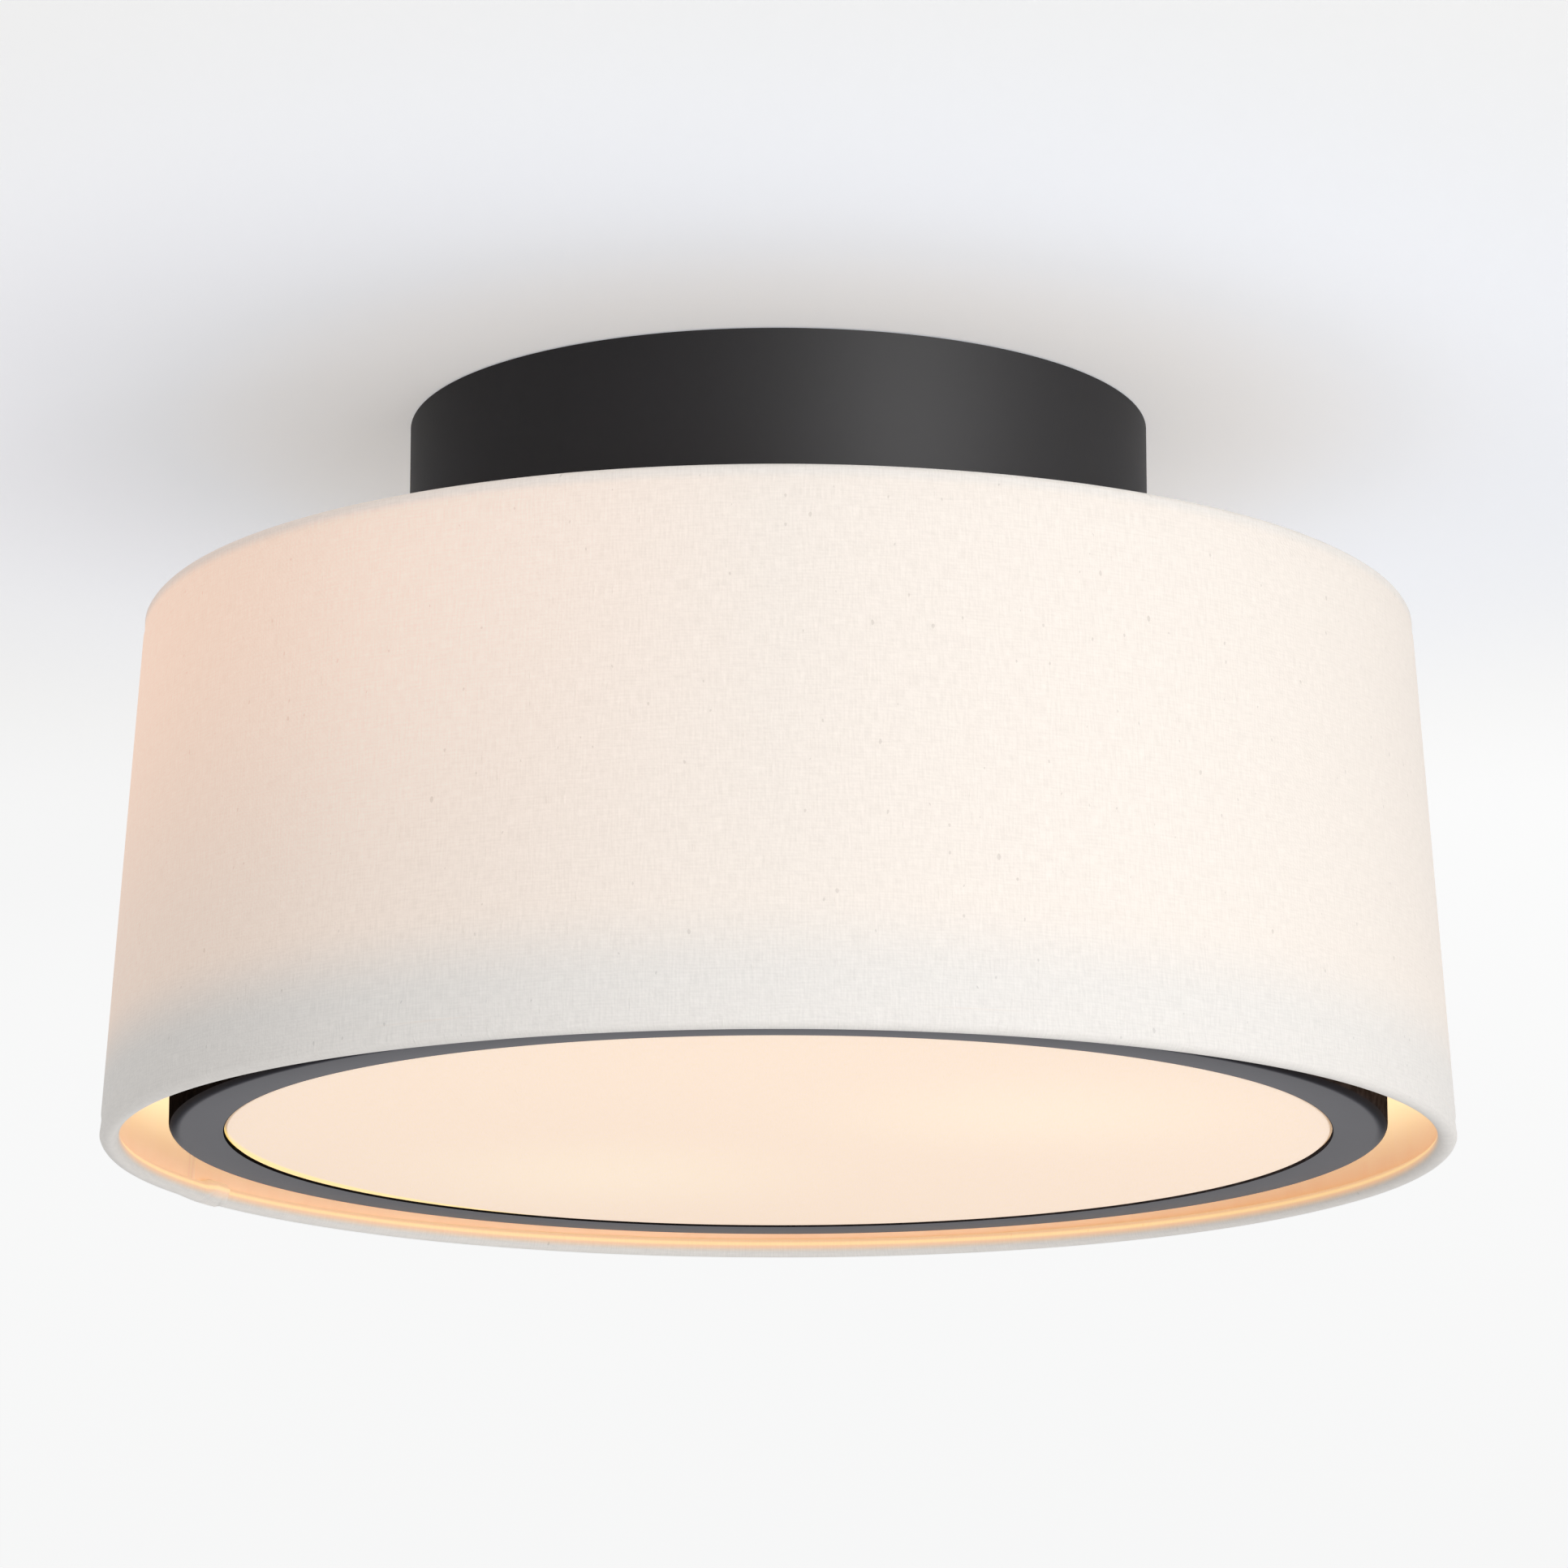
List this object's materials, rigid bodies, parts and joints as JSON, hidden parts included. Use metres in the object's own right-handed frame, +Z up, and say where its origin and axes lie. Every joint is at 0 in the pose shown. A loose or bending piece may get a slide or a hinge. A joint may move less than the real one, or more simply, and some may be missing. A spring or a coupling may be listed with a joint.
{
  "type": "flush mount ceiling light",
  "caption": "Drum flush mount ceiling light: tapered linen shade under a round canopy, with a linen-faced diffuser in a steel ring and screw lamps inside.",
  "frame": {"origin": "centre of the ceiling plane, midway between the outlet box screws, on the strap's top face", "axes": "+Z up into the ceiling, the light hangs along -Z; the strap lies along Y; -Y faces the viewer"},
  "size_m": [0.381, 0.3808, 0.2102],
  "materials": {
    "black_powder_coat": "matte black powder coat",
    "zinc_steel": "zinc plated steel",
    "white_steel": "white painted steel",
    "nickel_magnet": "nickel plated magnet",
    "green_screw": "green chromate",
    "shade_linen": "plain weave linen, off-white",
    "shade_styrene": "white styrene sheet",
    "diffuser_linen": "fine plain weave, off-white",
    "opal_acrylic": "opal acrylic, satin",
    "porcelain": "glazed white socket body",
    "brass": "bare brass",
    "lamp_cap": "rolled aluminium",
    "lamp_tip": "tinned",
    "lamp_insulator": "dark moulded insulator",
    "lamp_housing": "white moulded plastic",
    "lamp_board": "white coated aluminium board",
    "lamp_dome": "milky diffusing plastic",
    "glass_fibre": "glass fibre felt",
    "lead_black": "black lead insulation",
    "lead_white": "white lead insulation",
    "lead_green": "green lead insulation",
    "connector_plastic": "orange moulded connector",
    "bushing_plastic": "natural nylon"
  },
  "bodies": {
    "fixture": {"ceiling_crossbar": "zinc_steel", "crossbar_studs": "zinc_steel", "stud_lock_nuts": "zinc_steel", "ground_screws": "green_screw", "ground_lead": "lead_green", "canopy": "black_powder_coat", "canopy_cap_nuts": "black_powder_coat", "insulation_pad": "glass_fibre", "center_nipple": "zinc_steel", "nipple_bushings": "bushing_plastic", "nipple_top_washer": "zinc_steel", "nipple_top_nut": "zinc_steel", "spider_washer": "white_steel", "spider_spokes": "white_steel", "shade_top_ring": "white_steel", "shade_bottom_ring": "white_steel", "shade_fabric": "shade_linen", "shade_liner": "shade_styrene", "ring_carrier": "white_steel", "carrier_magnets": "nickel_magnet", "socket_bracket": "zinc_steel", "bracket_washer": "zinc_steel", "bracket_nut": "zinc_steel", "socket_screws": "zinc_steel", "lead_black": "lead_black", "lead_white": "lead_white", "wire_nuts": "connector_plastic", "socket_1_body": "porcelain", "socket_1_shell": "brass", "socket_1_contact": "brass", "socket_2_body": "porcelain", "socket_2_shell": "brass", "socket_2_contact": "brass"},
    "ring": {"ring_lower_flange": "black_powder_coat", "ring_side_wall": "black_powder_coat", "ring_upper_flange": "black_powder_coat"},
    "diffuser": {"diffuser_linen": "diffuser_linen", "diffuser_disc": "opal_acrylic"},
    "lamp_1_travel": {"bulb_1_contact": "lamp_tip"},
    "lamp_1": {"bulb_1_insulator": "lamp_insulator", "bulb_1_cap": "lamp_cap", "bulb_1_housing": "lamp_housing", "bulb_1_led_board": "lamp_board", "bulb_1_dome": "lamp_dome"},
    "lamp_2_travel": {"bulb_2_contact": "lamp_tip"},
    "lamp_2": {"bulb_2_insulator": "lamp_insulator", "bulb_2_cap": "lamp_cap", "bulb_2_housing": "lamp_housing", "bulb_2_led_board": "lamp_board", "bulb_2_dome": "lamp_dome"}
  },
  "joints": [
    {"name": "ring_pull", "type": "slide", "parent": "fixture", "child": "ring", "axis": [0, 0, -1], "range_m": [0, 0.08]},
    {"name": "diffuser_lift", "type": "slide", "parent": "ring", "child": "diffuser", "axis": [0, 0, 1], "range_m": [0, 0.05]},
    {"name": "lamp_1_slide", "type": "slide", "parent": "fixture", "child": "lamp_1_travel", "axis": [0.7771, -0.6293, 0], "range_m": [0, 0.02]},
    {"name": "lamp_1_turn", "type": "hinge", "parent": "lamp_1_travel", "child": "lamp_1", "pos_m": [0, 0, -0.105], "axis": [0.7771, -0.6293, 0], "range_deg": [0, 1980]},
    {"name": "lamp_2_slide", "type": "slide", "parent": "fixture", "child": "lamp_2_travel", "axis": [-0.7771, 0.6293, 0], "range_m": [0, 0.02]},
    {"name": "lamp_2_turn", "type": "hinge", "parent": "lamp_2_travel", "child": "lamp_2", "pos_m": [0, 0, -0.105], "axis": [-0.7771, 0.6293, 0], "range_deg": [0, 1980]}
  ],
  "couplings": [
    {"joint": "lamp_1_slide", "follows": "lamp_1_turn", "m_per_rad": 0.00057751},
    {"joint": "lamp_2_slide", "follows": "lamp_2_turn", "m_per_rad": 0.00057751}
  ]
}
